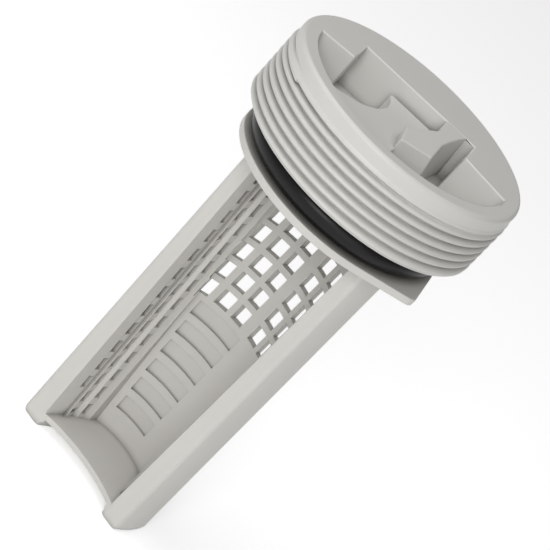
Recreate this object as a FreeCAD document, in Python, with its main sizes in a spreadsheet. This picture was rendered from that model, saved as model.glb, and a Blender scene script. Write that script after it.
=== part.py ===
import FreeCAD, Part
import math
import os
import Sketcher

# Washer pump filter: screw cap, sealing ring and moulded basket.
# Millimetres. +Z runs up the axis, from the basket's feet to the face of the cap.
# The open side of the basket looks along -Y. The origin is on the axis, level with the feet.

V = FreeCAD.Vector
doc = FreeCAD.newDocument("washer_pump_filter")
values = doc.addObject("Spreadsheet::Sheet", "values")

SIZES = [
    # heights along the axis
    ("total_height", 112.2, "feet to cap face"),
    ("cap_height", 16.85, "cap face to the lower edge of the thread"),
    ("flange_top", 89.0, "upper side of the basket flange"),
    ("flange_thick", 1.7, "basket flange"),
    # screw cap
    ("thread_major_r", 29.0, "thread crest"),
    ("thread_depth", 0.72, "crest to root"),
    ("thread_pitch", 2.05, "one turn"),
    ("thread_mouth", 1.45, "width of the thread groove at the crest"),
    ("thread_turns", 6.0, "full-depth turns of the groove"),
    ("thread_end_angle", 245.0, "bearing on the cap where the groove runs out"),
    ("collar_r", 28.6, "plain collar over the thread"),
    ("collar_low", 4.1, "cap face to where the thread diameter begins"),
    ("face_edge_r", 1.0, "rounding round the cap face"),
    ("lead_chamfer", 0.7, "chamfer where the thread starts"),
    ("cap_turn", 19.0, "how far the cap is turned on the basket, degrees"),
    ("grip_r", 24.7, "round wall of the finger grip"),
    ("grip_deep", 10.0, "depth of the finger grip"),
    ("grip_far_y", 11.0, "far wall of the finger grip"),
    ("grip_side_y", 0.8, "straight walls left and right of the notch"),
    ("grip_left_x", -16.5, "left end of the far wall"),
    ("grip_right_x", 13.4, "right end of the far wall"),
    ("grip_edge", 0.4, "bevel on the rim of the grip"),
    ("arm_drop", 1.0, "grip arm below the cap face"),
    ("shelf_drop", 3.6, "shelf in the grip below the cap face"),
    ("shelf_far_y", 7.8, "far edge of the shelf"),
    ("pool_r", 14.2, "round left pool beside the shelf"),
    ("pool_x", -20.5, "centre of the left pool"),
    ("pool_y", 4.2, "centre of the left pool"),
    ("spigot_r", 19.65, "seat of the sealing ring on the cap"),
    ("run_gap", 0.2, "end gap between cap and flange"),
    ("relief_in_r", 14.9, "hollow under the cap, inner wall"),
    ("relief_out_r", 17.8, "hollow under the cap, outer wall"),
    ("relief_top", 99.6, "roof of the hollow under the cap"),
    # turning clip between basket and cap
    ("neck_r", 12.0, "basket neck, runs in the cap"),
    ("neck_clear", 0.08, "radial clearance of the neck in the cap"),
    ("neck_wall", 1.6, "wall of the hollow neck"),
    ("lip_out", 0.8, "clip lip beyond the neck"),
    ("lip_high", 1.6, "height of the clip lip"),
    ("shoulder_z", 94.2, "shoulder in the cap over which the lip clips"),
    ("clip_gap", 0.15, "end gap of the lip over its shoulder"),
    ("chamber_r", 13.4, "chamber in the cap round the clip lip"),
    ("chamber_top", 98.0, "roof of that chamber"),
    # sealing ring
    ("ring_section", 5.4, "section diameter"),
    ("ring_squash", 0.15, "flat the ring takes on its seat"),
    ("ring_z", 92.0, "middle of the ring"),
    # basket
    ("flange_r", 25.3, "flange"),
    ("flange_edge", 0.35, "bevel of the flange"),
    ("lug_run", 15.2, "flange tangent point to the lug corner"),
    ("lug_corner_r", 2.4, "rounding of the lug corner"),
    ("lug_bearing", 19.0, "bearing of the lug's outer side, degrees from +X"),
    ("rail_r", 18.9, "outside of the side rails"),
    ("front_y", -7.8, "front faces of the rails"),
    ("rail_back_y", 1.5, "back edges of the rails"),
    ("rail_skin", 1.5, "outer skin of the hollow rails"),
    ("rail_front_wall", 2.3, "front wall of the hollow rails"),
    ("trough_in_r", 14.0, "inside of the trough under the flange"),
    ("trough_wall", 1.9, "wall of the trough"),
    ("trough_y", -2.0, "centre of the trough's round back"),
    ("draft", 0.9, "mould draft of the trough, degrees"),
    ("floor_low", 2.2, "underside of the floor plate"),
    ("floor_thick", 1.4, "floor plate"),
    ("floor_hollow", 2.4, "how far the floor's front edge bows in"),
    ("arch_half", 12.1, "half width of the arch between the feet"),
    ("arch_r", 1.9, "rounding of the arch into the feet"),
    ("skirt_y", 8.4, "start of the skirt at the back"),
    ("foot_edge", 1.2, "rounding of the feet"),
    # windows
    ("row_pitch", 5.9, "from row to row"),
    ("row_top_z", 80.0, "sill of the top row"),
    ("window_w", 3.5, "square windows, width"),
    ("window_h", 4.2, "square windows, height"),
    ("window_rows", 7, "rows of square windows"),
    ("window_skew", 9.0, "pull direction of the slide that forms the windows, degrees"),
    ("slit_h", 3.8, "side slits, height"),
    ("slit_w", 1.75, "side slits, width"),
    ("slit_rows", 13, "rows of side slits"),
    ("slit_drop", 0.3, "slit sills below the window sills"),
    # louvre panels on the inner back wall
    ("louvre_count", 7, "panels"),
    ("louvre_pitch", 5.95, "from panel to panel"),
    ("louvre_high", 4.6, "height of a panel"),
    ("louvre_deep", 0.75, "depth at a panel's sill"),
    ("louvre_top_z", 38.9, "sill of the top panel"),
    ("louvre_from", -38.0, "bearing of the panels' left ends, degrees from +Y"),
    ("louvre_to", 7.0, "bearing of the panels' right ends"),
]
for row, (alias, number, note) in enumerate(SIZES, 1):
    values.set("A%d" % row, note)
    values.set("B%d" % row, str(number))
    values.setAlias("B%d" % row, alias)
doc.recompute()


def size(alias):
    return float(values.get(alias))


def new_body(name):
    body = doc.addObject("PartDesign::Body", name)
    body.Label = name
    return body


def new_sketch(body, name, role, shift=V(0, 0, 0), turn=0.0, about=V(0, 0, 1)):
    """Sketch on one of the body's own origin planes, shifted and turned in that plane's frame."""
    sketch = body.newObject("Sketcher::SketchObject", name)
    plane = [f for f in body.Origin.OriginFeatures if f.Role == role][0]
    sketch.AttachmentSupport = [(plane, "")]
    sketch.MapMode = "FlatFace"
    sketch.AttachmentOffset = FreeCAD.Placement(shift, FreeCAD.Rotation(about, turn))
    return sketch


def trace(sketch, points):
    """Closed outline. (x, y) is the end of a straight, (mx, my, x, y) of an arc through (mx, my)."""
    here = V(points[0][-2], points[0][-1], 0)
    for step in points[1:] + points[:1]:
        there = V(step[-2], step[-1], 0)
        if len(step) == 4:
            sketch.addGeometry(Part.Arc(here, V(step[0], step[1], 0), there), False)
        elif (there - here).Length > 1e-7:
            sketch.addGeometry(Part.LineSegment(here, there), False)
        here = there


def box(sketch, x, y, wide, high):
    """Rectangle with its lower left corner at (x, y)."""
    trace(sketch, [(x, y), (x + wide, y), (x + wide, y + high), (x, y + high)])


def add(body, kind, name, sketch, **settings):
    """PartDesign feature from a sketch; text settings are bound to the sheet."""
    feature = body.newObject(kind, name)
    feature.Profile = sketch
    for key, setting in settings.items():
        if isinstance(setting, str) and key in ("Length", "Length2", "TaperAngle"):
            feature.setExpression(key, setting)
        else:
            setattr(feature, key, setting)
    body.Tip = feature
    doc.recompute()
    return feature


def edges_where(shape, test):
    """Names of the edges whose every probed point passes the test."""
    names = []
    for number, line in enumerate(shape.Edges, 1):
        first, last = line.ParameterRange
        probes = [line.valueAt(first + (last - first) * k / 4) for k in range(5)]
        if all(test(p) for p in probes):
            names.append("Edge%d" % number)
    return names


def bevel(body, name, wide, test):
    base = body.Tip
    feature = body.newObject("PartDesign::Chamfer", name)
    feature.Base = (base, edges_where(base.Shape, test))
    feature.Size = wide
    body.Tip = feature
    doc.recompute()
    return feature


def polar(radius, degrees):
    return radius * math.cos(math.radians(degrees)), radius * math.sin(math.radians(degrees))


height = size("total_height")
cap_low = height - size("cap_height")
flange_top = size("flange_top")
flange_low = flange_top - size("flange_thick")
floor_top = size("floor_low") + size("floor_thick")

# Screw cap
cap = new_body("screw_cap")
crest = size("thread_major_r")
root = crest - size("thread_depth")
collar = size("collar_r")
edge = size("face_edge_r")
nip = edge * (1 - math.sqrt(0.5))
thread_top = height - size("collar_low")
cap_foot = flange_top + size("run_gap")
bore = size("neck_r") + size("neck_clear")

section = new_sketch(cap, "cap_section", "XZ_Plane")
trace(section, [
    (0, height),
    (collar - edge, height),
    (collar - nip, height - nip, collar, height - edge),
    (collar, thread_top + 0.6),
    (crest, thread_top),
    (crest, cap_low + size("lead_chamfer")),
    (root, cap_low),
    (size("spigot_r"), cap_low),
    (size("spigot_r"), cap_foot),
    (size("relief_out_r"), cap_foot),
    (size("relief_out_r"), size("relief_top")),
    (size("relief_in_r"), size("relief_top")),
    (size("relief_in_r"), cap_foot),
    (bore, cap_foot),
    (bore, size("shoulder_z")),
    (size("chamber_r"), size("shoulder_z")),
    (size("chamber_r"), size("chamber_top")),
    (0, size("chamber_top")),
])
add(cap, "PartDesign::Revolution", "cap_blank", section, ReferenceAxis=(section, ["V_Axis"]))

# Finger grip: a half-round well with a square bay at the far side
g = size("grip_r")
side_y = size("grip_side_y")
left_x, right_x, far_y = size("grip_left_x"), size("grip_right_x"), size("grip_far_y")
wall_y = -0.6
wall_x = math.sqrt(g * g - wall_y * wall_y)
grip = new_sketch(cap, "grip_outline", "XY_Plane", V(0, 0, height))
trace(grip, [
    (-wall_x, wall_y),
    (0, -g, wall_x, wall_y),
    (right_x, side_y + 1.2),
    (right_x, far_y),
    (left_x, far_y),
    (left_x, side_y),
])
add(cap, "PartDesign::Pocket", "finger_grip", grip, Length="values.grip_deep")


# Bevel round the rim of the grip
def on_grip_rim(p):
    return abs(p.z - height) < 1e-4 and math.hypot(p.x, p.y) < g + 1e-3


bevel(cap, "grip_bevel", size("grip_edge"), on_grip_rim)

# Shelf left of the arm, cut round by the left pool
pool_r, pool_x, pool_y = size("pool_r"), size("pool_x"), size("pool_y")
shelf_y = size("shelf_far_y")
shelf_x = pool_x + math.sqrt(pool_r ** 2 - (shelf_y - pool_y) ** 2)
pool_mid = polar(pool_r, -42)
shelf = new_sketch(cap, "shelf_outline", "XY_Plane", V(0, 0, height - size("grip_deep")))
trace(shelf, [
    (5.9, shelf_y),
    (shelf_x, shelf_y),
    (pool_x + pool_mid[0], pool_y + pool_mid[1], pool_x, pool_y - pool_r),
    (-23.6, -10.5),
    (-22.4, -13.4),
    (-16.0, -20.6),
    (-8.0, -24.8),
    (1.2, -26.0),
    (1.2, -11.0),
    (0.6, -5.0),
    (5.9, 3.6),
])
add(cap, "PartDesign::Pad", "grip_shelf", shelf, Length="values.grip_deep - values.shelf_drop")

# Arm that the fingers turn
arm = new_sketch(cap, "arm_outline", "XY_Plane", V(0, 0, height - size("grip_deep")))
trace(arm, [
    (6.1, far_y + 1.0),
    (5.7, 3.9),
    (0.3, -5.0),
    (0.8, -12.2),
    (8.6, -8.8),
    (8.9, 2.0),
    (11.3, far_y + 1.0),
])
add(cap, "PartDesign::Pad", "grip_arm", arm, Length="values.grip_deep - values.arm_drop")

ramp = new_sketch(cap, "ramp_side", "YZ_Plane", V(0, 0, 6.0))
trace(ramp, [
    (far_y + 1.0, height),
    (far_y, height),
    (4.0, height - size("arm_drop")),
    (4.0, height - size("arm_drop") - 1.2),
    (far_y + 1.0, height - size("arm_drop") - 1.2),
])
ramp_pad = add(cap, "PartDesign::Pad", "arm_ramp", ramp, Length=4.6)

# Right-hand thread, cut as one groove that leaves through the lower edge
turns = size("thread_turns")
pitch = size("thread_pitch")
bearing = size("thread_end_angle")
groove_top = thread_top - 0.15
groove_start = groove_top - turns * pitch
half_mouth = size("thread_mouth") / 2
over = 0.25


def groove_profile(sketch, z):
    half_over = half_mouth * (1 + over / size("thread_depth"))
    trace(sketch, [(root, z), (crest + over, z - half_over), (crest + over, z + half_over)])


turn = new_sketch(cap, "thread_groove", "XZ_Plane", turn=bearing - 360 * (turns % 1), about=V(0, 1, 0))
groove_profile(turn, groove_start)
thread = cap.newObject("PartDesign::SubtractiveHelix", "thread")
thread.Profile = turn
thread.ReferenceAxis = (turn, ["V_Axis"])
thread.Mode = 1
thread.Pitch = pitch
thread.Turns = turns
cap.Tip = thread
doc.recompute()

# Sealing ring
ring = new_body("sealing_ring")
seat = size("spigot_r")
ring_r = size("ring_section") / 2
ring_mid = seat - size("ring_squash") + ring_r
ring_z = size("ring_z")
flat = math.sqrt(ring_r ** 2 - (ring_mid - seat) ** 2)
ring_cut = new_sketch(ring, "ring_section_outline", "XZ_Plane")
trace(ring_cut, [
    (seat, ring_z - flat),
    (ring_mid + ring_r, ring_z, seat, ring_z + flat),
])
add(ring, "PartDesign::Revolution", "ring_turned", ring_cut, ReferenceAxis=(ring_cut, ["V_Axis"]))

# Filter basket: flange with two keying lugs
basket = new_body("filter_basket")
flange_r = size("flange_r")
disc = new_sketch(basket, "flange_disc", "XY_Plane", V(0, 0, flange_low))
disc.addGeometry(Part.Circle(V(0, 0, 0), V(0, 0, 1), flange_r), False)
disc.addConstraint(Sketcher.Constraint("Radius", 0, flange_r))
disc.setExpression("Constraints[0]", "values.flange_r")
add(basket, "PartDesign::Pad", "flange", disc, Length="values.flange_thick")

# A lug is the corner between two lines that leave the flange at a tangent
run = size("lug_run")
corner_r = size("lug_corner_r")
half_open = math.atan2(flange_r, run)
back_off = corner_r / math.tan(half_open)
lugs = new_sketch(basket, "lug_corners", "XY_Plane", V(0, 0, flange_low))
for half_turn in (0, 180):
    out = size("lug_bearing") + half_turn
    ahead = out - 2 * math.degrees(math.atan2(run, flange_r))
    first = V(*polar(flange_r, out), 0)
    last = V(*polar(flange_r, ahead), 0)
    along = V(*polar(1, out - 90), 0)
    home = V(*polar(1, ahead + 90), 0)
    corner = first + along * run
    start = corner - along * back_off
    finish = corner - home * back_off
    middle = corner.normalize() * 1.0
    corner = first + along * run
    middle = corner - middle * (corner_r / math.sin(half_open) - corner_r)
    trace(lugs, [
        tuple(polar(flange_r - 6, (out + ahead) / 2)),
        (first.x, first.y),
        (start.x, start.y),
        (middle.x, middle.y, finish.x, finish.y),
        (last.x, last.y),
    ])
add(basket, "PartDesign::Pad", "lugs", lugs, Length="values.flange_thick")

# Side rails: outer skin and front wall, hollow behind
rail_r = size("rail_r")
front = size("front_y")
back = size("rail_back_y")
rails = new_sketch(basket, "rail_outline", "XY_Plane")
hollows = new_sketch(basket, "rail_hollows", "XY_Plane", V(0, 0, floor_top + 1.2))
skin_r = rail_r - size("rail_skin")
hollow_front = front + size("rail_front_wall")
trough_in = size("trough_in_r")
trough_out = trough_in + size("trough_wall")
for side in (-1, 1):
    trace(rails, [
        (side * 11.9, front),
        (side * math.sqrt(rail_r ** 2 - front ** 2), front),
        (side * rail_r, 0, side * math.sqrt(rail_r ** 2 - back ** 2), back),
        (side * 11.9, back),
    ])
    trace(hollows, [
        (side * 14.4, hollow_front),
        (side * math.sqrt(skin_r ** 2 - hollow_front ** 2), hollow_front),
        (side * skin_r, 0, side * math.sqrt(skin_r ** 2 - (back + 1) ** 2), back + 1),
        (side * 14.4, back + 1),
    ])
add(basket, "PartDesign::Pad", "rails", rails, Length=flange_low)
add(basket, "PartDesign::Pocket", "rail_channels", hollows, Reversed=True,
    Length=flange_low - floor_top - 4.2)

# Trough: round back and straight sides, drafted towards the floor
mid_y = size("trough_y")
shell = new_sketch(basket, "trough_outline", "XY_Plane", V(0, 0, flange_low))
trace(shell, [
    (-trough_out, -5.4),
    (trough_out, -5.4),
    (trough_out, mid_y),
    (0, mid_y + trough_out, -trough_out, mid_y),
])
add(basket, "PartDesign::Pad", "trough_shell", shell, Reversed=True, Length=flange_low,
    TaperAngle=-size("draft"))
well = new_sketch(basket, "trough_inside", "XY_Plane", V(0, 0, flange_low))
trace(well, [
    (-trough_in, front - 4.0),
    (trough_in, front - 4.0),
    (trough_in, mid_y),
    (0, mid_y + trough_in, -trough_in, mid_y),
])
add(basket, "PartDesign::Pocket", "trough_well", well, Length=flange_low - floor_top,
    TaperAngle=-size("draft"))

# Arch between the feet, with the skirt left standing at the back
arch_half = size("arch_half")
arch_r = size("arch_r")
under = size("floor_low")
arch = new_sketch(basket, "foot_arch", "XZ_Plane", V(0, 0, -size("skirt_y")))
arch_nip = arch_r * (1 - math.sqrt(0.5))
trace(arch, [
    (-arch_half, -1.0),
    (arch_half, -1.0),
    (arch_half, under - arch_r),
    (arch_half - arch_nip, under - arch_nip, arch_half - arch_r, under),
    (arch_r - arch_half, under),
    (arch_nip - arch_half, under - arch_nip, -arch_half, under - arch_r),
])
add(basket, "PartDesign::Pocket", "arch_cut", arch, Reversed=True, Length=size("skirt_y") - front + 1.0)

# The floor reaches the front faces; its own edge bows inwards
plate = new_sketch(basket, "floor_outline", "XY_Plane", V(0, 0, under))
box(plate, -arch_half - 1.2, front, 2 * arch_half + 2.4, 4.0)
add(basket, "PartDesign::Pad", "floor_plate", plate, Length="values.floor_thick")
bow = size("floor_hollow")
bow_half = trough_in - 1.4
lip = new_sketch(basket, "floor_front", "XY_Plane", V(0, 0, -1.0))
trace(lip, [
    (-bow_half, front - 1.0),
    (bow_half, front - 1.0),
    (bow_half, front),
    (0, front + bow, -bow_half, front),
])
add(basket, "PartDesign::Pocket", "floor_bow", lip, Reversed=True, Length=floor_top + 1.0)

# Hollow neck with its clip lip
neck_r = size("neck_r")
neck_in = neck_r - size("neck_wall")
lip_low = size("shoulder_z") + size("clip_gap")
lip_top = lip_low + size("lip_high")
lip_r = neck_r + size("lip_out")
neck = new_sketch(basket, "neck_section", "XZ_Plane")
trace(neck, [
    (neck_in, flange_top - 0.2),
    (neck_r, flange_top - 0.2),
    (neck_r, lip_low),
    (lip_r, lip_low),
    (lip_r, lip_low + 0.4),
    (neck_r, lip_top),
    (neck_in, lip_top),
])
add(basket, "PartDesign::Revolution", "neck", neck, ReferenceAxis=(neck, ["V_Axis"]))

# Square windows in the upper back wall, pulled by a slide that leaves a little to one side
skew = size("window_skew")
pitch_z = size("row_pitch")
sill = size("row_top_z")
wide = size("window_w")
high = size("window_h")
reach = trough_in + size("trough_wall") / 2
windows = new_sketch(basket, "window_grid", "XZ_Plane", V(0, 0, 0), turn=-skew, about=V(0, 1, 0))
for bearing in (-39.7, -20.6, -1.5, 29.0):
    x = reach * math.sin(math.radians(bearing))
    y = mid_y + reach * math.cos(math.radians(bearing))
    across = x * math.cos(math.radians(skew)) - y * math.sin(math.radians(skew))
    for k in range(int(size("window_rows"))):
        box(windows, across - wide / 2, sill - k * pitch_z, wide, high)
add(basket, "PartDesign::Pocket", "window_cuts", windows, Length=trough_out + 4)

# Side slits, the middle column of each side set half a row lower
slit_h = size("slit_h")
slit_w = size("slit_w")
for side, bearings in ((-1, (-58.5, -70.0, -84.0)), (1, (46.5, 58.0, 72.0))):
    name = "slits_left" if side < 0 else "slits_right"
    slits = new_sketch(basket, name, "YZ_Plane")
    for column, bearing in enumerate(bearings):
        y = mid_y + reach * math.cos(math.radians(bearing))
        lower = pitch_z / 2 if column == 1 else 0.0
        for k in range(int(size("slit_rows"))):
            foot = sill - size("slit_drop") - lower - k * pitch_z
            box(slits, y - slit_w / 2, foot, slit_w, slit_h)
    add(basket, "PartDesign::Pocket", name + "_cuts", slits, Reversed=side > 0, Length=trough_out + 0.4)

# Louvre panels: closed windows, each sloping back to a sill, swept round the trough's centre
louvre_span = size("louvre_to") - size("louvre_from")
louvre_mid = 90 - (size("louvre_to") + size("louvre_from")) / 2
louvres = new_sketch(basket, "louvre_section", "XZ_Plane", V(0, 0, -mid_y), louvre_mid, V(0, 1, 0))
slope = math.tan(math.radians(size("draft")))
for k in range(int(size("louvre_count"))):
    foot = size("louvre_top_z") - k * size("louvre_pitch")
    wall = trough_in - (flange_low - foot) * slope
    top = min(foot + size("louvre_high"), foot + size("louvre_pitch"))
    trace(louvres, [
        (wall - 1.0, foot),
        (wall + size("louvre_deep"), foot),
        (wall + 0.05, top),
        (wall - 1.0, top),
    ])
add(basket, "PartDesign::Groove", "louvre_cuts", louvres, ReferenceAxis=(louvres, ["V_Axis"]),
    Midplane=True, Angle=louvre_span)


# Bevel of the flange rim and rounding of the feet
def on_flange_rim(p):
    level = abs(p.z - flange_low) < 1e-4 or abs(p.z - flange_top) < 1e-4
    return level and math.hypot(p.x, p.y) > flange_r - 1e-3


bevel(basket, "flange_bevel", size("flange_edge"), on_flange_rim)
foot_r = size("foot_edge")
foot_nip = foot_r * (1 - math.sqrt(0.5))
sole = new_sketch(basket, "foot_section", "XZ_Plane")
trace(sole, [
    (rail_r - foot_r, 0),
    (rail_r - foot_r, -1.0),
    (rail_r + 1.0, -1.0),
    (rail_r + 1.0, foot_r),
    (rail_r, foot_r),
    (rail_r - foot_nip, foot_nip, rail_r - foot_r, 0),
])
add(basket, "PartDesign::Groove", "foot_rounding", sole, ReferenceAxis=(sole, ["V_Axis"]))

# The cap as it sits on the basket in the photograph
cap.Placement = FreeCAD.Placement(V(0, 0, 0), FreeCAD.Rotation(V(0, 0, 1), size("cap_turn")))
doc.recompute()

for thing in doc.Objects:
    if "Invalid" in thing.State or "Error" in thing.State:
        raise RuntimeError("%s did not build: %s" % (thing.Name, thing.State))
os.makedirs("parts", exist_ok=True)
for node in (cap, ring, basket):
    if node.Shape.isNull() or not node.Shape.isValid() or len(node.Shape.Solids) != 1:
        raise RuntimeError("%s is not one sound solid" % node.Label)
    node.Shape.exportStep("parts/%s.step" % node.Label)
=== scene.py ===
import math

import bmesh
import bpy
from mathutils import Matrix, Quaternion, Vector


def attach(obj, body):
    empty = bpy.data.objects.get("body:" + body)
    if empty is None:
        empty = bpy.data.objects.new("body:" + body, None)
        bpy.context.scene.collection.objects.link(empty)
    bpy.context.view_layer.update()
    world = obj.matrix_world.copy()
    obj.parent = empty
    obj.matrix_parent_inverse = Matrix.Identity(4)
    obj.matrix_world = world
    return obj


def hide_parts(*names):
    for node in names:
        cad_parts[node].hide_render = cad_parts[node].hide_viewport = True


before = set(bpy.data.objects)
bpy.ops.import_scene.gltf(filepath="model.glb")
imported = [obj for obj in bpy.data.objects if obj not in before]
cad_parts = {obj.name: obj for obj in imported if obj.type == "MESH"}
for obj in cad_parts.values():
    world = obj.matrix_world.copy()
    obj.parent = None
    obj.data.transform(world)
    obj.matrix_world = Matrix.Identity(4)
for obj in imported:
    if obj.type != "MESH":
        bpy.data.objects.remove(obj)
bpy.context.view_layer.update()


# Filter basket
# The trough that catches fluff and coins: one moulding of light grey polypropylene. Two hollow rails
# carry it from the flange to the feet. Its side walls step back, with a column of slits in each step,
# and its round back has windows above and closed louvre panels below.

# Metres in a millimetre. The basket and the cap are drawn in millimetres, with z over the soles.
mm = 0.001


def linear(hex_colour):
    """An sRGB hex colour as the linear RGBA that the shaders use."""
    channels = [int(hex_colour[i:i + 2], 16) / 255 for i in (1, 3, 5)]
    curve = [c / 12.92 if c <= 0.04045 else ((c + 0.055) / 1.055) ** 2.4 for c in channels]
    return (*curve, 1.0)


def node(tree, kind, settings=None, sockets=None, links=None):
    """Adds a shader node, sets its own settings and input sockets, and links outputs into it."""
    made = tree.nodes.new(kind)
    for name, setting in (settings or {}).items():
        setattr(made, name, setting)
    for name, value in (sockets or {}).items():
        made.inputs[name].default_value = value
    for name, output in (links or {}).items():
        tree.links.new(output, made.inputs[name])
    return made


def bare_material(name):
    """A material that has no nodes yet."""
    made = bpy.data.materials.new(name)
    made.use_nodes = True
    made.node_tree.nodes.clear()
    return made


def polar(radius, degrees):
    """The x and y at a radius and a bearing, which is 0 to the right and 90 at the back."""
    return radius * math.cos(math.radians(degrees)), radius * math.sin(math.radians(degrees))


def arc(start, through, end, facets):
    """Points of the arc from start to end by way of through, without its start."""
    (ax, ay), (bx, by), (cx, cy) = start, through, end
    a, b, c = ax * ax + ay * ay, bx * bx + by * by, cx * cx + cy * cy
    double_area = 2 * (ax * (by - cy) + bx * (cy - ay) + cx * (ay - by))
    x = (a * (by - cy) + b * (cy - ay) + c * (ay - by)) / double_area
    y = (a * (cx - bx) + b * (ax - cx) + c * (bx - ax)) / double_area
    first, middle, last = [math.atan2(q - y, p - x) for p, q in (start, through, end)]
    sweep = (last - first) % math.tau
    if (middle - first) % math.tau > sweep:
        sweep -= math.tau
    radius = math.hypot(ax - x, ay - y)
    angles = [first + sweep * (k + 1) / facets for k in range(facets)]
    return [(x + radius * math.cos(angle), y + radius * math.sin(angle)) for angle in angles]


def traced(corners, facets=24):
    """Closed outline. (x, y) ends a straight, (mx, my, x, y) an arc through (mx, my)."""
    points = [corners[0][-2:]]
    for corner in corners[1:]:
        if len(corner) == 4:
            points += arc(points[-1], corner[:2], corner[2:], facets)
        else:
            points.append(corner)
    return points


def loft(*outlines):
    """Closed solid through outlines of (x, y, z) points, each with the same number of them."""
    solid = bmesh.new()
    rings = [[solid.verts.new(p) for p in outline] for outline in outlines]
    solid.faces.new(rings[0])
    solid.faces.new(rings[-1])
    for low, high in zip(rings, rings[1:]):
        for k in range(len(low)):
            solid.faces.new((low[k - 1], low[k], high[k], high[k - 1]))
    bmesh.ops.recalc_face_normals(solid, faces=solid.faces)
    return solid


def level(outline, z):
    """A flat outline, laid at a height."""
    return [(x, y, z) for x, y in outline]


def block(low, high):
    """Box between two corners."""
    x, y, z = zip(low, high)
    outline = [(x[0], y[0]), (x[1], y[0]), (x[1], y[1]), (x[0], y[1])]
    return loft(level(outline, z[0]), level(outline, z[1]))


def lathe(profile, facets, centre=(0, 0), first=0.0, last=360.0):
    """Solid of revolution of a closed (radius, z) profile about an upright line, or a part of one."""
    whole = last - first >= 360
    turned = []
    for k in range(facets if whole else facets + 1):
        a = math.radians(first + (last - first) * k / facets)
        turned.append([(centre[0] + r * math.cos(a), centre[1] + r * math.sin(a), z) for r, z in profile])
    if not whole:
        return loft(*turned)
    solid = bmesh.new()
    rings = [[solid.verts.new(p) for p in ring] for ring in turned]
    for k in range(len(rings)):
        for j in range(len(profile)):
            solid.faces.new((rings[k - 1][j - 1], rings[k][j - 1], rings[k][j], rings[k - 1][j]))
    bmesh.ops.recalc_face_normals(solid, faces=solid.faces)
    return solid


def joined(solids):
    """Several solids that don't touch, as one mesh."""
    whole = bmesh.new()
    for solid in solids:
        scratch = bpy.data.meshes.new("scratch")
        solid.to_mesh(scratch)
        solid.free()
        whole.from_mesh(scratch)
        bpy.data.meshes.remove(scratch)
    return whole


def shaped(base, changes, corner=0.0):
    """The base after a list of changes, each UNION or DIFFERENCE with a solid. Given a corner radius,
    the base's marked edges are rounded first."""
    made = []
    for name, solid in [("base", base)] + changes:
        mesh = bpy.data.meshes.new(name)
        solid.to_mesh(mesh)
        solid.free()
        thing = bpy.data.objects.new(name, mesh)
        bpy.context.scene.collection.objects.link(thing)
        made.append(thing)
    if corner:
        rounding = made[0].modifiers.new("round_corners", "BEVEL")
        rounding.width = corner
        rounding.segments = 3
        rounding.limit_method = "WEIGHT"
        rounding.use_clamp_overlap = False
    for (operation, _), tool in zip(changes, made[1:]):
        change = made[0].modifiers.new(operation, "BOOLEAN")
        change.operation = operation
        change.solver = "MANIFOLD"
        change.object = tool
    bpy.context.view_layer.update()
    result = bmesh.new()
    result.from_object(made[0], bpy.context.evaluated_depsgraph_get())
    for thing in made:
        mesh = thing.data
        bpy.data.objects.remove(thing)
        bpy.data.meshes.remove(mesh)
    return result


def moulding(solid, openings, name, corner, body, node_name, material,
             turned=0.0, thread_r=math.inf):
    """A piece from a solid in millimetres. Its outer corners get the small radius that a mould leaves,
    except on the thread, and its small openings are cut after that and stay sharp."""
    flat = math.radians(0.4)
    corner_from = math.radians(32)
    sharp_from = math.radians(36)
    bmesh.ops.dissolve_limit(solid, angle_limit=flat, verts=solid.verts, edges=solid.edges)
    solid.normal_update()
    weight = solid.edges.layers.float.new("bevel_weight_edge")
    for edge in solid.edges:
        on_thread = all(vert.co.xy.length > thread_r for vert in edge.verts)
        outer_corner = edge.is_manifold and edge.is_convex and edge.calc_face_angle() > corner_from
        if outer_corner and not on_thread:
            edge[weight] = 1.0
    solid = shaped(solid, openings, corner)
    solid.normal_update()
    for edge in solid.edges:
        edge.smooth = not edge.is_manifold or edge.calc_face_angle() < sharp_from
    for face in solid.faces:
        face.smooth = True
    solid.transform(Matrix.Rotation(turned, 4, "Z") @ Matrix.Scale(mm, 4))
    mesh = bpy.data.meshes.new(name)
    solid.to_mesh(mesh)
    solid.free()
    mesh.materials.append(material)
    piece = bpy.data.objects.new(name, mesh)
    bpy.context.scene.collection.objects.link(piece)
    even = piece.modifiers.new("flat_faces_stay_flat", "WEIGHTED_NORMAL")
    even.keep_sharp = True
    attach(piece, body)
    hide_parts(node_name)


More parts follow.
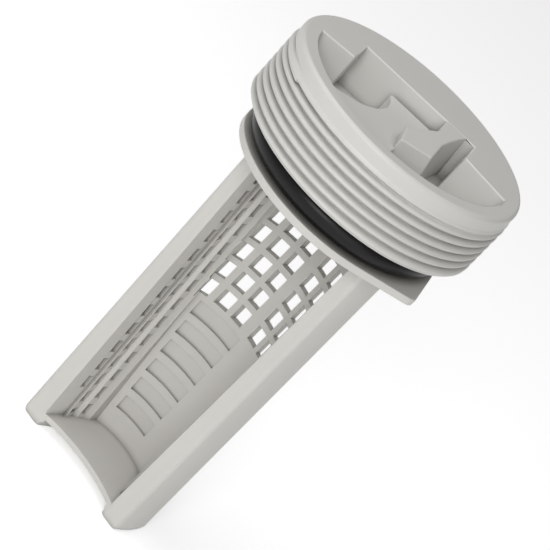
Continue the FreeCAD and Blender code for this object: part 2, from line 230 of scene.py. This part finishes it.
def moulded_polypropylene(name, colour, shade, painted_shade_colour):
    """Light grey polypropylene from a spark-eroded mould: an even satin skin with a barely visible
    grain, slightly uneven in tone where the melt flowed. Painted shade greys it deep in slits, grooves and
    corners."""
    # Six flow marks to 100 mm. The real grain, of some 0.05 mm, is drawn at 0.4 mm so that it shows.
    flow_marks = 6 / (100 * mm)
    grains = 1 / (0.4 * mm)
    grain_depth = 0.05 * mm
    painted_shade_reach = 2.6 * mm
    made = bare_material(name)
    tree = made.node_tree
    place = node(tree, "ShaderNodeTexCoord").outputs["Object"]
    flow = node(tree, "ShaderNodeTexNoise", sockets={"Scale": flow_marks, "Detail": 3.0},
                links={"Vector": place})
    grain = node(tree, "ShaderNodeTexNoise", sockets={"Scale": grains, "Detail": 2.0},
                 links={"Vector": place})
    tone = node(tree, "ShaderNodeMix", {"data_type": "RGBA"}, {"A": linear(colour), "B": linear(shade)},
                {"Factor": flow.outputs["Fac"]})
    # Painted shade: where ambient occlusion finds the surface hemmed in within this reach, the colour is
    # mixed towards the darker grey, so slits, grooves and corners look shaded.
    around = node(tree, "ShaderNodeAmbientOcclusion", {"samples": 8}, {"Distance": painted_shade_reach})
    openness = node(tree, "ShaderNodeMapRange", sockets={"From Min": 0.25, "From Max": 0.8},
                    links={"Value": around.outputs["AO"]})
    painted_shade_mix = node(tree, "ShaderNodeMix", {"data_type": "RGBA"}, {"A": linear(painted_shade_colour)},
                {"Factor": openness.outputs["Result"], "B": tone.outputs["Result"]})
    bump = node(tree, "ShaderNodeBump", sockets={"Strength": 0.12, "Distance": grain_depth},
                links={"Height": grain.outputs["Fac"]})
    skin = node(tree, "ShaderNodeBsdfPrincipled", sockets={"Roughness": 0.42, "IOR": 1.49},
                links={"Base Color": painted_shade_mix.outputs["Result"], "Normal": bump.outputs["Normal"]})
    node(tree, "ShaderNodeOutputMaterial", links={"Surface": skin.outputs["BSDF"]})
    return made


# Heights, and the y of the rails' flat front
flange_top = 89.0
flange_low = 87.3
floor_top = 3.6
floor_low = 2.2
channel_low = 4.8
channel_high = 84.3
front = -7.8

# Distances from the axis at the bottom, each with what it gains on the way up to the flange
rail_outside = (19.1, 0.7)
trough_outside = (13.1, 4.4)
back_inside = (10.1, 4.4)
mouth = (12.8, 2.2)

# How far a cutting solid runs past the face that it cuts, and a joined one into its neighbour
past = 1.0
into = 0.5


def widened(size, share):
    """A distance from the axis at a share of the height."""
    low, gain = size
    return low + gain * share


def share_of(z):
    """The share of the way from the floor to the flange that a height is at."""
    return (z - floor_top) / (flange_low - floor_top)


def flange_outline(radius=25.3, run=15.2, corner=2.4, bearing=19.0):
    """Round flange with two keying lugs, each the rounded corner between two tangents."""
    half = math.atan2(radius, run)
    straight = run - corner / math.tan(half)
    tip = math.hypot(radius, run) - corner / math.sin(half) + corner
    sweep = 2 * math.degrees(math.atan2(run, radius))
    half_round = (180 - sweep) / 2
    corners = [polar(radius, bearing)]
    for leave in (bearing + 180, bearing + 360):
        land = leave - sweep
        first, last = polar(radius, leave), polar(radius, land)
        there, home = polar(straight, leave - 90), polar(straight, land + 90)
        corners += [
            polar(radius, land - half_round) + last,
            (last[0] + home[0], last[1] + home[1]),
            polar(tip, (leave + land) / 2) + (first[0] + there[0], first[1] + there[1]),
            first,
        ]
    return traced(corners)[:-1]


def mirrored(points, side):
    """The points themselves for side 1, and their mirror image in x for side -1."""
    return [tuple(c * side if k % 2 == 0 else c for k, c in enumerate(p)) for p in points]


def on_circle(radius, y):
    """The point right of the axis where a circle round it has this y."""
    return math.sqrt(radius ** 2 - y ** 2), y


def between(radius, first, last):
    """The point of a circle round the axis that is half way between two of its points."""
    angle = (math.atan2(first[1], first[0]) + math.atan2(last[1], last[0])) / 2
    return radius * math.cos(angle), radius * math.sin(angle)


def rail(z, side, soft=1.2, back=1.5, inward=1.0):
    """A rail's outline at a height: flat front, rounded front edge, round outside. It starts a little
    inside the mouth, and the well trims it."""
    outer = widened(rail_outside, z / flange_low)
    inner = widened(mouth, z / flange_low) - inward
    soft_x = math.sqrt((outer - soft) ** 2 - (front + soft) ** 2)
    start = (soft_x * outer / (outer - soft), (front + soft) * outer / (outer - soft))
    half = (math.atan2(front + soft, soft_x) - math.pi / 2) / 2
    bend = (soft_x + soft * math.cos(half), front + soft + soft * math.sin(half))
    end = on_circle(outer, back)
    corners = [(inner, front), (soft_x, front), bend + start, between(outer, start, end) + end, (inner, back)]
    return level(traced(mirrored(corners, side), facets=8), z)


def channel(z, side, skin=1.25, wall=2.3, back=2.5, inward=0.8):
    """The hollow in a rail, open to the back. It starts a little inside the trough's wall, which fills
    that again."""
    outer = widened(rail_outside, z / flange_low) - skin
    inner = widened(trough_outside, z / flange_low) - inward
    start, end = on_circle(outer, front + wall), on_circle(outer, back)
    corners = [(inner, front + wall), start, between(outer, start, end) + end, (inner, back)]
    return level(traced(mirrored(corners, side), facets=8), z)


def shell(z, recess=1.8, middle=-1.0):
    """Outside of the trough: a half cone, run out straight between the rails."""
    r = widened(trough_outside, z / flange_low)
    near = front + recess
    return level(traced([(-r, near), (r, near), (r, middle), (0, middle + r, -r, middle)], facets=40), z)


def side_wall(share, tips=(10.65, 10.0, 8.75), gain=2.8, first_tip=-2.4, step=3.7, jog=0.95,
              rakes=(-0.4, 0.45, 1.3)):
    """Side wall from the open side to the back: its front edge, then the corner and tip of each step.
    Each jog between the two is raked by more than the one before."""
    edge = widened(mouth, share)
    wall = [(edge, front - 4 * past), (edge, front)]
    for k, (tip, rake) in enumerate(zip(tips, rakes)):
        tip_x = widened((tip, gain), share)
        tip_y = first_tip + step * k
        wall += [(tip_x + jog, tip_y - rake), (tip_x, tip_y)]
    return wall


def well(z, corner_x=(8.4, 5.9), corner_y=(7.6, 0.5), apex_x=1.5, right_back=0.4):
    """Inside of the trough at a height: two stepped side walls and a round back, a little askew."""
    share = share_of(z)
    x, y = widened(corner_x, share), widened(corner_y, share)
    apex = (apex_x, widened(back_inside, share))
    wall = side_wall(share)
    corners = mirrored(wall, -1) + [(-x, y), apex + (x, y + right_back)] + wall[::-1]
    return level(traced(corners), z)


def nip(radius):
    """How far the middle of a round corner lies in from either of its sides."""
    return radius * (1 - math.sqrt(0.5))


def arch(y, half, soft=1.9):
    """The opening between the feet, under the floor."""
    corners = [(-half, -past), (half, -past), (half, floor_low - soft),
               (half - nip(soft), floor_low - nip(soft), half - soft, floor_low),
               (soft - half, floor_low),
               (nip(soft) - half, floor_low - nip(soft), -half, floor_low - soft)]
    return [(x, y, z) for x, z in traced(corners, facets=6)]


def sole_edge(soft=1.2, clear=0.01):
    """Profile of the ring that rounds the outer edge of the soles, a hair outside the rails."""
    outer = rail_outside[0] + clear
    corners = [(outer - soft, 0), (outer - soft, -past), (outer + past, -past), (outer + past, soft),
               (outer, soft), (outer - nip(soft), nip(soft), outer - soft, 0)]
    return traced(corners, facets=6)[:-1]


def neck(bore=10.4, outer=12.0, foot=88.8, top=95.95, clip=12.8, clip_low=94.35, clip_high=94.75):
    """Profile of the neck that the cap turns on, with the bead that its hub clips over."""
    return [(bore, foot), (outer, foot), (outer, clip_low), (clip, clip_low), (clip, clip_high),
            (outer, top), (bore, top)]


def louvres(top_sill=39.0, pitch=5.95, count=6, high=4.0, deep=0.65, lip=0.35, inward=2.0,
            centre=(-0.2, -5.0), right=7.0, left=35.0, narrower=7.0):
    """The closed panels: each slopes back from its upper edge to a sill, swept along the back wall from
    an angle right of its middle to one left of it. The lower they are, the less they reach left."""
    panels = []
    for k in range(count):
        foot = top_sill - pitch * k
        head = foot + high
        wall, wall_top = [widened(back_inside, share_of(z)) - centre[1] for z in (foot, head)]
        left_end = left - narrower * k / (count - 1)
        profile = [(wall - inward, foot), (wall + deep, foot),
                   (wall_top + lip, head), (wall_top - inward, head)]
        panels.append(lathe(profile, facets=12, centre=centre, first=90 - right, last=90 + left_end))
    return joined(panels)


def windows(top_sill=79.4, pitch=5.8, rows=7, high=4.3, wide=3.05, outermost=2.0, bar=1.35, rib=2.9,
            off=-0.65, skew=9.0, near_y=3.0, far_y=24.0):
    """Square windows in the upper back wall, three columns on each side of a rib. The slide that makes
    them leaves a little to one side."""
    cuts = []
    for column, width in enumerate((wide, wide, outermost)):
        near = rib / 2 + column * (wide + bar)
        for k in range(rows):
            sill = top_sill - pitch * k
            for x in (near + off, off - near - width):
                cuts.append(block((x, near_y, sill), (x + width, far_y, sill + high)))
    grid = joined(cuts)
    grid.transform(Matrix.Rotation(math.radians(-skew), 4, "Z"))
    return grid


def slits(top_sill=79.8, pitch=5.8, rows=range(-1, 15), high=3.7, shortest=1.5, head=86.5,
          inner=5.0, outer=17.8):
    """Three columns of slits in each side wall, one in each step, which open into the rails."""
    # The y, width, rise over the top sill and lowest foot of each column
    columns = ((-3.3, 1.6, 2.6, 11.6), (-0.75, 2.2, -1.7, channel_low), (2.5, 1.7, 0.2, channel_low))
    cuts = []
    for y, wide, rise, lowest in columns:
        for k in rows:
            sill = top_sill + rise - k * pitch
            top = sill + high
            foot = max(sill, lowest)
            if top < head and top - foot > shortest:
                for low_x, high_x in ((inner, outer), (-outer, -inner)):
                    cuts.append(block((low_x, y - wide / 2, foot), (high_x, y + wide / 2, top)))
    return joined(cuts)


floor_half = 13.3
floor_deep = 4.0
floor_plate = block((-floor_half, front, floor_low), (floor_half, front + floor_deep, floor_top))
bow_half = 13.4
bow_deep = 2.6
floor_bow = traced([(-bow_half, front - past), (bow_half, front - past), (bow_half, front),
                    (0, front + bow_deep, -bow_half, front)])
flange = loft(level(flange_outline(), flange_low), level(flange_outline(), flange_top))
basket_changes = []
for side in (-1, 1):
    basket_changes += [
        ("UNION", loft(rail(0.0, side), rail(flange_low + into, side))),
        ("DIFFERENCE", loft(channel(channel_low, side), channel(channel_high, side))),
    ]
basket_changes += [
    ("UNION", loft(shell(0.0), shell(flange_low + into))),
    ("DIFFERENCE", loft(well(floor_top), well(flange_low))),
    ("UNION", floor_plate),
    ("DIFFERENCE", loft(arch(y=front - past, half=12.9), arch(y=8.4, half=7.0))),
    ("DIFFERENCE", loft(level(floor_bow, -past), level(floor_bow, floor_top + past))),
    ("UNION", lathe(neck(), facets=96)),
    ("DIFFERENCE", lathe(sole_edge(), facets=180)),
]
openings = [("DIFFERENCE", louvres()), ("DIFFERENCE", windows()), ("DIFFERENCE", slits())]
# The last of the three colours is the painted shade for slits, grooves and corners.
moulding(shaped(flange, basket_changes), openings, "basket_moulding", corner=0.2,
         body="basket", node_name="filter_basket",
         material=moulded_polypropylene("moulded_grey_polypropylene", "#D3D1CC", "#CDCBC6", "#85837E"))


# Screw cap
# The threaded cap, moulded in the same polypropylene. Its hub clips over the basket's neck and turns on
# it, and a finger grip is sunk into its face. The thread is a right-handed helix with round crests. It
# fades in at the lower edge and out under the plain collar, and its last groove runs up into that.

# Heights of the face, the thread and the step under it, and the outer radii
face = 112.2
thread_high = 108.1
thread_low = 96.05
cap_low = 95.35
crest_r = 29.0
collar_r = 28.6

# Where the last groove runs on, for over a third of a turn: its heights, and its shares of the turn
last_low = 107.4
last_high = 109.8
last_from = 0.25
last_to = 0.62


def groove(turn, z, depth=1.25, pitch=2.05, start=95.83, soft=0.015,
           nought_low=95.95, nought_high=108.5, fade_low=0.6, fade_high=1.1, fade_turn=0.12):
    """Depth of the thread at a share of a turn and a height: round crests and narrow grooves, which
    fade in from one height and out towards another."""
    wave = math.sin(math.pi * ((z - start) / pitch - turn))
    swing = 1.0 - math.sqrt((1.0 - soft) * wave ** 2 + soft)
    fade = min((z - nought_low) / fade_low, (nought_high - z) / fade_high)
    if z > last_low and last_from < turn < last_to:
        fade = min((last_to - turn) / fade_turn, (last_high - z) / fade_low)
    return depth * swing * min(1.0, max(0.0, fade))


def cap_inside(low=89.2, sleeve_r=19.65, sleeve_bore=17.8, ceiling=99.6, hub_r=14.9, hub_bore=12.08,
               catch=94.2, room_r=13.4, room_top=98.0):
    """Profile under the cap, from its lower edge to the axis: the sleeve that carries the sealing ring,
    the hollow, and the hub with the room for the neck's bead."""
    return [(sleeve_r, cap_low), (sleeve_r, low), (sleeve_bore, low), (sleeve_bore, ceiling),
            (hub_r, ceiling), (hub_r, low), (hub_bore, low), (hub_bore, catch),
            (room_r, catch), (room_r, room_top)]


def cap_skin(facets=360, levels=160, edge=1.0, chamfer=0.72):
    """The cap without its grip: a lathe shape whose outside follows the thread."""
    rim = []
    for degrees in range(0, 90, 11):
        up, out = polar(edge, degrees)
        rim.append((collar_r - edge + out, face - edge + up))
    rim.append((collar_r, face - edge))
    heights = [last_high + (thread_low - last_high) * k / levels for k in range(levels + 1)]
    band = [(crest_r - (crest_r - collar_r) * min(1.0, max(0.0, z - thread_high)), z) for z in heights]
    profile = rim + band + [(crest_r - chamfer, cap_low)] + cap_inside()
    solid = bmesh.new()
    rings = []
    for k in range(facets):
        angle = math.tau * k / facets
        ring = []
        for r, z in profile:
            if (r, z) in band:
                r -= groove(k / facets, z)
            ring.append(solid.verts.new((r * math.cos(angle), r * math.sin(angle), z)))
        rings.append(ring)
    for k in range(facets):
        for j in range(1, len(profile)):
            solid.faces.new((rings[k - 1][j - 1], rings[k - 1][j], rings[k][j], rings[k][j - 1]))
    solid.faces.new([ring[0] for ring in rings])
    solid.faces.new([ring[-1] for ring in rings])
    bmesh.ops.recalc_face_normals(solid, faces=solid.faces)
    return solid


grip_r = 24.7
grip_floor = 102.2
grip_far = 11.0


def grip_well(end_y=-0.6, right=13.4, right_y=2.0, left=-16.5, left_y=0.8):
    """Half-round well with a square bay at the far side."""
    end_x = math.sqrt(grip_r ** 2 - end_y ** 2)
    outline = traced([(-end_x, end_y), (0, -grip_r, end_x, end_y), (right, right_y), (right, grip_far),
                      (left, grip_far), (left, left_y)], facets=64)
    return loft(level(outline, grip_floor), level(outline, face + 2 * past))


def grip_shelf(x=-19.3, y=3.8, radius=14.2, pool_end=-75, back=9.9, top=108.6, into_wall=1.2,
               wall_from=208, wall_to=271):
    """Shelf left of the arm, cut round by a pool about (x, y) and run into the well's round wall."""
    pool_start = math.degrees(math.asin((back - y) / radius))
    bearings = (pool_start, (pool_start + pool_end) / 2, pool_end)
    pool = [(x + p, y + q) for p, q in (polar(radius, bearing) for bearing in bearings)]
    wall_r = grip_r + into_wall
    outline = traced([(6.0, back), pool[0], pool[1] + pool[2], polar(wall_r, wall_from),
                      polar(wall_r, (wall_from + wall_to) / 2) + polar(wall_r, wall_to),
                      (2.0, -10.0), (2.0, -5.0), (6.0, 3.9)])
    return loft(level(outline, grip_floor - into), level(outline, top))


def grip_arm(left=5.7, right=8.3, root_right=11.3, lean=1.6, into_wall=0.8, fall=1.3, fall_over=24.6):
    """Arm that the fingers turn. Its top falls from the face to the tip, and its right side leans out
    downwards."""
    root_y = grip_far + into_wall

    def outline(out):
        side_x, root_x = right + out, root_right + out / 2
        return traced([(left, root_y), (left, 3.9), (0.4, -6.0), (1.3, -12.4), (side_x, -8.8),
                       (side_x, -0.5), (side_x + (root_x - side_x) * 0.4, 5.75, root_x, root_y)], facets=12)

    top = [(x, y, face - fall * max(0.0, grip_far - y) / fall_over) for x, y in outline(0.0)]
    return loft(level(outline(lean), grip_floor - into), top)


grip_changes = [("DIFFERENCE", grip_well()), ("UNION", grip_shelf()), ("UNION", grip_arm())]
# The last of the three colours is the painted shade for grooves, pockets and corners.
moulding(shaped(cap_skin(), grip_changes), [], "cap_moulding", corner=0.38,
         body="cap", node_name="screw_cap",
         material=moulded_polypropylene("moulded_cap_polypropylene", "#D3D2CE", "#CDCCC8", "#93928E"),
         turned=math.radians(19), thread_r=27.0)


# Sealing ring
# A round ring of black nitrile rubber, pressed in a heated mould. It is stretched over the cap's
# sleeve and sits in the groove between the thread and the basket's flange. The shape is the CAD's.

def pressed_nitrile_rubber():
    """Black nitrile rubber, pressed and deflashed: nearly black with a soft, wide highlight."""
    # The real grain is too fine to show, so it is drawn coarser, at nine grains to 5 mm.
    grains = 9 / (5 * mm)
    grain_depth = 0.05 * mm
    made = bare_material("pressed_black_nitrile_rubber")
    tree = made.node_tree
    place = node(tree, "ShaderNodeTexCoord").outputs["Object"]
    grain = node(tree, "ShaderNodeTexNoise", sockets={"Scale": grains, "Detail": 3.0},
                 links={"Vector": place})
    bump = node(tree, "ShaderNodeBump", sockets={"Strength": 0.1, "Distance": grain_depth},
                links={"Height": grain.outputs["Fac"]})
    skin = node(tree, "ShaderNodeBsdfPrincipled",
                sockets={"Base Color": linear("#0C0C0D"), "Roughness": 0.36, "IOR": 1.52,
                         "Specular IOR Level": 0.25},
                links={"Normal": bump.outputs["Normal"]})
    node(tree, "ShaderNodeOutputMaterial", links={"Surface": skin.outputs["BSDF"]})
    return made


sealing_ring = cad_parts["sealing_ring"]
sealing_ring.data.materials.clear()
sealing_ring.data.materials.append(pressed_nitrile_rubber())


# Floor
# A wide sheet of matt white card that the filter stands on. It glows a little, for the camera and in
# reflections only, so that it looks as white as the backdrop and still shows the filter's shadow. The
# glow doesn't brighten the plastic otherwise.
half_sheet = 3.0
sheet = [(-half_sheet, -half_sheet, 0), (half_sheet, -half_sheet, 0),
         (half_sheet, half_sheet, 0), (-half_sheet, half_sheet, 0)]
floor_mesh = bpy.data.meshes.new("floor")
floor_mesh.from_pydata(sheet, [], [(0, 1, 2, 3)])
floor = bpy.data.objects.new("floor", floor_mesh)
bpy.context.scene.collection.objects.link(floor)
paper = bare_material("matt_white_card")
tree = paper.node_tree
card = node(tree, "ShaderNodeBsdfDiffuse", sockets={"Color": linear("#F4F4F4")})
glow = node(tree, "ShaderNodeEmission", sockets={"Color": linear("#FFFFFF"), "Strength": 0.47})
ray = node(tree, "ShaderNodeLightPath")
seen = node(tree, "ShaderNodeMath", {"operation": "MAXIMUM"},
            links={0: ray.outputs["Is Camera Ray"], 1: ray.outputs["Is Glossy Ray"]})
dark = node(tree, "ShaderNodeEmission", sockets={"Color": linear("#000000"), "Strength": 0.0})
lift = node(tree, "ShaderNodeMixShader", links={0: seen.outputs[0], 1: dark.outputs[0], 2: glow.outputs[0]})
both = node(tree, "ShaderNodeAddShader", links={0: card.outputs[0], 1: lift.outputs[0]})
node(tree, "ShaderNodeOutputMaterial", links={"Surface": both.outputs[0]})
floor.data.materials.append(paper)


# Light
# A soft studio dome, stronger from the front than from behind, which the camera sees as plain white.
# Three softboxes stand around the part: the key and the fill at the front right, one high on the left.
world = bpy.data.worlds.new("studio")
bpy.context.scene.world = world
world.use_nodes = True
tree = world.node_tree
tree.nodes.clear()
ray = node(tree, "ShaderNodeLightPath")
sky = node(tree, "ShaderNodeTexCoord")
direction = node(tree, "ShaderNodeSeparateXYZ", links={"Vector": sky.outputs["Generated"]})
strength = node(tree, "ShaderNodeMapRange",
                sockets={"From Min": -0.8, "From Max": 0.6, "To Min": 0.53, "To Max": 0.18},
                links={"Value": direction.outputs["Y"]})
dome = node(tree, "ShaderNodeBackground", sockets={"Color": linear("#FFFFFF")},
            links={"Strength": strength.outputs["Result"]})
white = node(tree, "ShaderNodeBackground", sockets={"Color": linear("#FFFFFF"), "Strength": 1.0})
backdrop = node(tree, "ShaderNodeMixShader",
                links={0: ray.outputs["Is Camera Ray"], 1: dome.outputs[0], 2: white.outputs[0]})
node(tree, "ShaderNodeOutputWorld", links={"Surface": backdrop.outputs[0]})


def softbox(name, azimuth, elevation, distance, side, power, aim=(0, 0, 0.06)):
    """Square softbox that looks at the middle of the part. Azimuth 0 is in front, on the -Y side."""
    lamp = bpy.data.lights.new(name, "AREA")
    lamp.size = side
    lamp.energy = power
    holder = bpy.data.objects.new(name, lamp)
    bpy.context.scene.collection.objects.link(holder)
    a, e = math.radians(azimuth), math.radians(elevation)
    away = Vector((math.sin(a) * math.cos(e), -math.cos(a) * math.cos(e), math.sin(e)))
    holder.location = Vector(aim) + away * distance
    holder.rotation_mode = "QUATERNION"
    holder.rotation_quaternion = away.to_track_quat("Z", "Y")


softbox("key", azimuth=16, elevation=28, distance=0.9, side=0.35, power=3.0)
softbox("fill", azimuth=50, elevation=8, distance=1.0, side=0.5, power=1.1)
softbox("top", azimuth=-70, elevation=62, distance=0.4, side=0.3, power=0.5)


# Camera
# It stands 19 degrees to the right of the open side and looks down on the filter by 25 degrees. It is
# rolled by 43 degrees, because the filter stands aslant in the photo. Lengths in metres, lens in mm.
azimuth = math.radians(19)
distance = 0.3874
height = 0.2465
look_down = 0.4376
look_aside = 0.004
roll = math.radians(43.2)
camera_data = bpy.data.cameras.new("camera")
camera_data.sensor_width = 36.0
camera_data.lens = 133.5
camera = bpy.data.objects.new("camera", camera_data)
bpy.context.scene.collection.objects.link(camera)
bpy.context.scene.camera = camera
camera.location = (distance * math.sin(azimuth), -distance * math.cos(azimuth), height)
yaw = azimuth - look_aside
level_part = math.cos(look_down)
look = Vector((-math.sin(yaw) * level_part, math.cos(yaw) * level_part, -math.sin(look_down)))
camera.rotation_mode = "QUATERNION"
camera.rotation_quaternion = look.to_track_quat("-Z", "Y") @ Quaternion((0, 0, 1), roll)
bpy.context.scene.view_settings.view_transform = "Standard"
